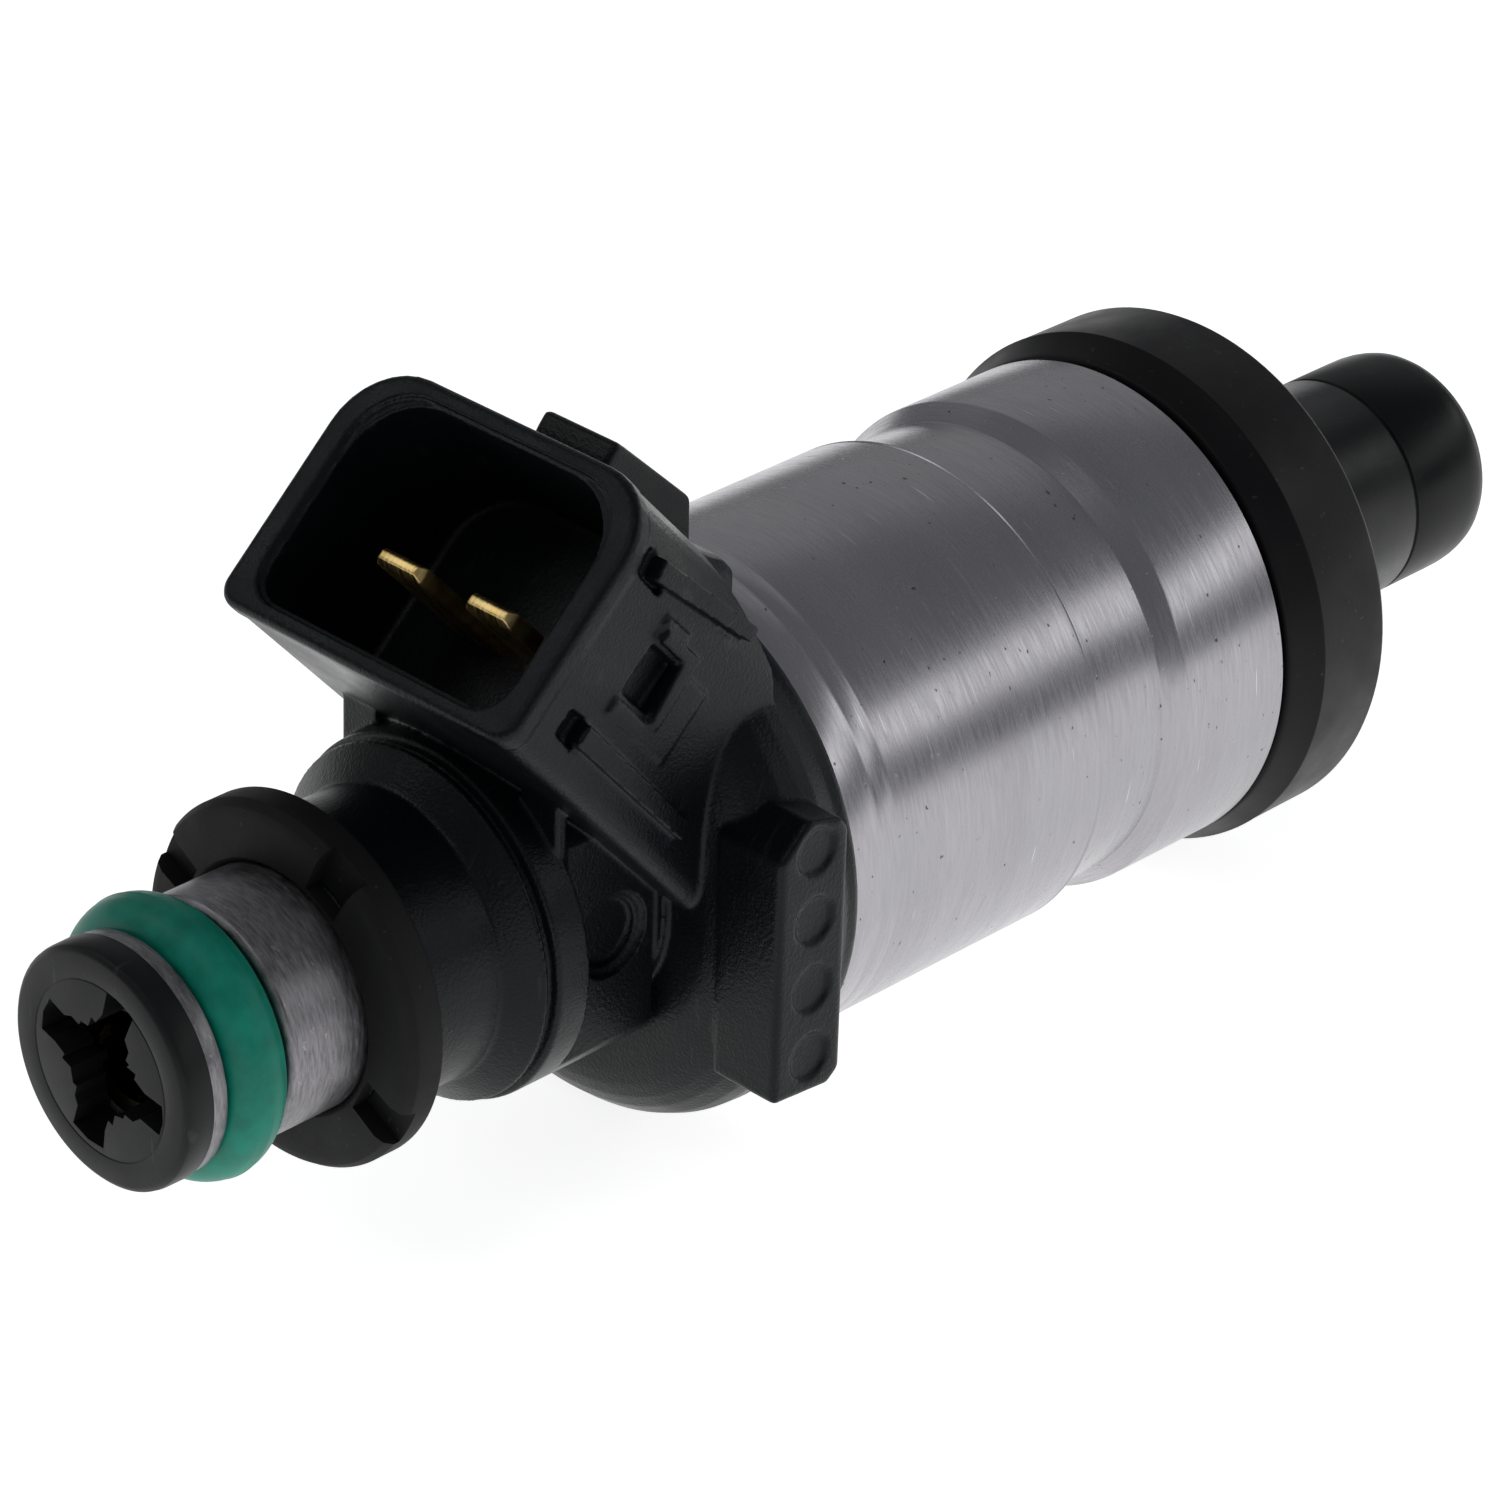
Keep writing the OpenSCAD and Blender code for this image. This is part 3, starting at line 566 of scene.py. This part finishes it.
def move_to_plug(tool):
    """Turns a tool made along Z onto the plug's axis and puts it at the mouth."""
    tool.rotation_euler = (0, PLUG_TURN, 0)
    tool.location = PLUG_MOUTH
    apply_place(tool)
    return tool


def cross_pin(radius, length, place, steps):
    """A round cutter along Y, with its middle at the place."""
    start_fresh()
    bpy.ops.mesh.primitive_cylinder_add(vertices=steps, radius=radius, depth=length,
        location=place, rotation=(math.pi / 2, 0, 0))
    tool = bpy.context.object
    apply_place(tool)
    return tool


def round_section(half_x, half_y, high_round, low_round):
    """Outline of the plug: wide round corners on the upper side, tight ones below."""
    points = []
    for x_sign, y_sign, r, first in ((1, 1, high_round, 0), (-1, 1, low_round, 90),
            (-1, -1, low_round, 180), (1, -1, high_round, 270)):
        for step in range(9):
            a = math.radians(first + step * 90 / 8)
            points.append((x_sign * (half_x - r) + r * math.cos(a),
                y_sign * (half_y - r) + r * math.sin(a)))
    return points


def bevelled(piece, width, segments=3, angle=40):
    """Rounds the edges of a piece."""
    apply_modifier(piece, "BEVEL", width=width, segments=segments, limit_method="ANGLE",
        angle_limit=math.radians(angle))
    return piece


plug_body = turned("plug_body_moulding", [
    (-47.9, 5.0), (-47.9, 5.4), (-46.6, 5.4), (-46.6, 6.0), (-42.5, 6.0), (-41.5, 7.25),
    (-41.3, 7.25), (-41.3, 6.95), (-41.0, 6.95), (-40.95, 7.4), (-40.8, 7.45), (-34.4, 7.45),
    (-34.38, 6.2), (-33.95, 6.2), (-33.98, 8.1), (-33.88, 9.0), (-33.75, 9.6),
    (-33.5, 10.2), (-33.12, 10.75), (-32.5, 11.26), (-31.9, 11.5), (-31.0, 11.57),
    (-30.3, 11.48), (-29.6, 11.15), (-29.2, 11.0), (-28.7, 10.97), (-28.45, 10.85),
    (-28.4, 10.7), (-28.4, CAN_FIT), (-30.02, CAN_FIT), (-30.02, TUBE_FIT)], steps=TOOL_STEPS)

shroud = prism("shroud", round_section(5.47, PLUG_SIDE, 3.0, 0.9), "Z", -17, -0.9)
bevelled(move_to_plug(shroud), 0.1, 1)
rim = move_to_plug(prism("rim", round_section(5.55, 7.9, 3.1, 0.95), "Z", -1.15, 0))
bevelled(rim, 0.3)
apply_boolean(shroud, rim, "UNION")
keep = prism("keep", [(-46, 8), (-46, 22), (-35, 22), (-33.0, 15.9), (-31.7, 13.6),
    (-30.75, 11.2), (-30.25, 9.8), (-30.25, 0.2), (-34.6, 0.2)], "Y", -9, 9)
apply_boolean(shroud, keep, "INTERSECT")

saddle = bevelled(prism("saddle", [(-36, 7), (-34.5, 16.2), (-31.2, 13.9), (-29.4, 12.9),
    (-28.9, 12.3), (-28.9, 9.9), (-34, 7)], "Y", -4.6, 4.6), 0.8)
wedge = bevelled(prism("wedge", [(-35, 15.5), (-33.5, 17.6), (-33.0, 18.18), (-32.5, 17.75),
    (-29.0, 14.5), (-28.95, 10.2), (-33, 12)], "Y", -1.97, 1.97), 0.22)
core_block = prism("core_block", [(-37.6, 3), (-37.6, 9.2), (-33, 9.2), (-33, 3)], "Y", -5.2, 5.2)
webs = [bevelled(prism("web", [(-39.4, 3.2), (-39.4, 9.2), (-38, 12), (-33.6, 12), (-33.6, 3.2)],
    "Y", side * 5.0, side * 3.9), 0.12) for side in (-1, 1)]
webs += [bevelled(prism("web_edge", [(-39.75, 3.2), (-39.75, 9.4), (-39.15, 9.9), (-39.15, 3.2)],
    "Y", side * 5.9, side * 3.9), 0.12) for side in (-1, 1)]

pads = []
for side in (-1, 1):
    pad = prism("pad", [(-32.3, -5.95), (-30.66, -6.2), (PAD_BACK_X, -5.7), (PAD_BACK_X, 4.9),
        (-30.53, 5.45), (-31.48, 5.95), (-32.3, 4.6)], "Y", side * BLOCK_SIDE, side * PAD_FACE)
    pick(pad)
    for face in pad.data.polygons:
        face.select = face.center.y * side > PAD_FACE - 0.08
    bpy.ops.object.mode_set(mode="EDIT")
    bpy.ops.transform.resize(value=(PAD_FLARE, 1, 1),
        center_override=(PAD_BACK_X, side * PAD_FACE, 0))
    bpy.ops.object.mode_set(mode="OBJECT")
    pads.append(bevelled(pad, 0.22, 3, 20))

for side in (-1, 1):
    flat = prism("flat", [(-39.35, -8), (-34.3, -8), (-34.3, 8), (-39.35, 8)],
        "Y", side * FLAT_Y, side * BLOCK_SIDE)
    apply_boolean(plug_body, flat, "DIFFERENCE")

for part in [shroud, saddle, wedge, core_block] + webs + pads:
    apply_boolean(plug_body, part, "UNION")

# Room for the housing's spigot, the tube and the mating plug is cut out of the
# solid, then the dimples, recesses and pockets. The bars on the sides come last.
hollow = turned("hollow", [(-30.02, 4.9), (-30.02, CAN_FIT), (-26.5, CAN_FIT), (-26.5, 4.9)],
    steps=TOOL_STEPS)
apply_boolean(plug_body, hollow, "DIFFERENCE")
tube_way = turned("tube_way", [(-50, 0.5), (-50, TUBE_FIT), (-20, TUBE_FIT), (-20, 0.5)],
    steps=TOOL_STEPS)
apply_boolean(plug_body, tube_way, "DIFFERENCE")
flare = move_to_plug(prism("flare", round_section(4.85, 6.72, 2.7, 1.5), "Z", -0.25, 1))
apply_boolean(plug_body, flare, "DIFFERENCE")
socket = move_to_plug(prism("socket", round_section(4.65, 6.5, 3.0, 1.3), "Z",
    -SOCKET_DEPTH, 1))
apply_boolean(plug_body, bevelled(socket, 0.3, 3, 60), "DIFFERENCE")

for side in (-1, 1):
    cuts = []
    for radius, depth in ((1.78, 0.25), (1.42, 0.55)):
        cuts.append(cross_pin(radius, 2 * depth, (-36.6, side * FLAT_Y, 0), 48))
    for height in DIMPLE_HEIGHTS:
        cuts.append(cross_pin(1.0, 0.4, (-32.05, side * 12.0, height), 40))
    for outline, depth in (
            ([(-1.1, -6.15), (1.05, -6.15), (1.05, -4.1), (-1.1, -4.1)], 0.6),
            ([(2.45, -2.9), (3.85, -2.9), (3.7, -1.2), (2.6, -1.2)], 0.45),
            ([(-3.95, -3.8), (-2.75, -3.8), (-2.75, -2.2), (-3.9, -2.2)], 0.45)):
        pocket = prism("pocket", outline, "Y", side * (PLUG_SIDE - depth), side * 9)
        cuts.append(move_to_plug(bevelled(pocket, 0.15, 2, 60)))
    for cut in cuts:
        apply_boolean(plug_body, cut, "DIFFERENCE")
    for outline, height in (
            ([(2.75, -1.9), (3.6, -1.7), (4.15, -8.5), (3.5, -8.5)], 0.38),
            ([(-3.75, -3.2), (-2.85, -3.2), (-3.1, -11.5), (-3.85, -11.5)], 0.38),
            ([(1.25, -5.9), (1.25, -4.2), (1.75, -4.2), (1.75, -6.75),
                (-1.3, -6.75), (-1.3, -6.25)], 0.3),
            ([(-1.35, -3.9), (-2.1, -3.9), (-2.1, -8.3), (1.0, -8.3),
                (1.0, -6.75), (-1.35, -6.75)], 0.17),
            ([(1.75, -3.9), (2.2, -3.9), (2.2, -5.6), (1.75, -5.6)], 0.17)):
        raised = prism("raised", outline, "Y", side * 7.5, side * (PLUG_SIDE + height))
        apply_boolean(plug_body, move_to_plug(raised), "UNION")

apply_modifier(plug_body, "REMESH", mode="VOXEL", voxel_size=VOXEL, use_smooth_shade=True)
apply_modifier(plug_body, "SMOOTH", factor=0.5, iterations=2)
apply_modifier(plug_body, "DECIMATE", ratio=FACES_KEPT / len(plug_body.data.polygons))
fit(plug_body, body_plastic, "black_plastic", "plug_body", angle=60)

# ---------------------------------------------------------------- Terminals
# Two stamped brass blades stand in the socket. Their tips are coined to a
# chamfer, and the punch leaves fine lines across them.
BLADE_Y = 2.42                          # the middle of each blade, off the plug's middle
BLADE_HALF = 1.2
BLADE_LOW, BLADE_HIGH = -1.3, -0.6      # its two wide faces, across the plug
CHAMFER_FROM, CHAMFER_LENGTH = -1.9, 0.4

terminal_brass = finish_of("terminal_brass", (0.85, 0.62, 0.25), 0.3, metallic=1.0)
punch = pattern(terminal_brass, (700, 9000, 700), detail=2)
plug_in(terminal_brass,
    color=tint(terminal_brass, remap(terminal_brass, punch, 0.4, 0.62),
        (0.72, 0.5, 0.17), (0.98, 0.76, 0.36)),
    roughness=remap(terminal_brass, punch, 0.3, 0.7, 0.25, 0.42),
    normal=relief(terminal_brass, punch, 0.004))
for side, node in ((1, "terminal_left"), (-1, "terminal_right")):
    middle = side * BLADE_Y
    blade = prism(node + "_blade", [(BLADE_LOW, middle - BLADE_HALF),
        (BLADE_HIGH, middle - BLADE_HALF), (BLADE_HIGH, middle + BLADE_HALF),
        (BLADE_LOW, middle + BLADE_HALF)], "Z", -13, CHAMFER_FROM)
    pick(blade)
    bpy.ops.object.mode_set(mode="EDIT")
    bpy.ops.mesh.select_mode(type="FACE")
    bpy.ops.mesh.select_all(action="DESELECT")
    bpy.ops.object.mode_set(mode="OBJECT")
    for face in blade.data.polygons:
        face.select = face.center.z > CHAMFER_FROM - 0.1
    bpy.ops.object.mode_set(mode="EDIT")
    bpy.ops.mesh.extrude_region_move(TRANSFORM_OT_translate={"value": (0, 0, CHAMFER_LENGTH)})
    bpy.ops.transform.resize(value=(0.5, 0.8, 1), center_override=(-0.95, middle, -1.5))
    bpy.ops.object.mode_set(mode="OBJECT")
    bevelled(blade, 0.07, 3, 20)
    move_to_plug(blade)
    fit(blade, terminal_brass, "brass", node)

# ---------------------------------------------------------------- Nozzle cap
# A black moulded cap snapped over the valve body. It has a wide flange under the
# seal, a fine parting groove and the start of a rounded nose.
nozzle_plastic = moulded_plastic("nozzle_plastic", (0.003, 0.0034, 0.004), 0.3, grain=0.004)
nozzle_cap = turned("nozzle_cap_moulding", [
    (-2.85, 6.05), (-2.85, 9.8), (-1.6, 9.8), (-1.6, 7.0), (2.55, 7.0), (2.55, 4.9), (12.2, 4.9),
    (12.24, 4.8), (12.36, 4.8), (12.4, 4.9), (15.3, 4.9), (15.9, 4.89), (16.3, 4.85),
    (16.6, 4.79), (16.9, 4.7), (16.9, 3.32), (16.32, 3.32), (16.32, 3.65), (-0.9, 3.65),
    (-0.9, 6.05)], edge=0.03, segments=2)
fit(nozzle_cap, nozzle_plastic, "black_plastic", "nozzle_cap")

# ---------------------------------------------------------------- Nozzle end ring
# A dark ring welded over the mouth of the nozzle cap. Its outside finishes the
# nose's rounding, and it keeps the orifice plate in place.
end_plastic = moulded_plastic("end_plastic", (0.012, 0.014, 0.016), 0.32, grain=0.004)
nozzle_end_ring = turned("nozzle_end_ring_moulding", [
    (16.92, 2.0), (16.92, 4.67), (17.1, 4.57), (17.3, 4.4), (17.45, 4.2), (17.56, 3.95),
    (17.6, 3.7), (17.6, 2.4)], edge=0.03, segments=2)
fit(nozzle_end_ring, end_plastic, "nozzle_plastic", "nozzle_end_ring")

# ---------------------------------------------------------------- Manifold seal
# The large moulded rubber ring that seals in the intake manifold. It has a coned
# front lip, a fine raised parting line and a small rounded edge behind.
seal_rubber = black_rubber("seal_rubber", (0.0035, 0.0033, 0.0042), 0.42, grain=0.005)
manifold_seal = turned("manifold_seal_moulding", [
    (-2.7, 9.82), (-2.7, 10.35), (-2.62, 10.5), (-2.4, 10.58), (-1.7, 10.9),
    (-1.32, 11.1), (-1.24, 11.15), (-1.12, 11.12), (2.4, 11.1), (2.62, 10.98), (2.7, 10.75),
    (2.7, 7.02), (-1.55, 7.02), (-1.55, 9.82)], edge=0.04, segments=2)
fit(manifold_seal, seal_rubber, "black_rubber", "manifold_seal")
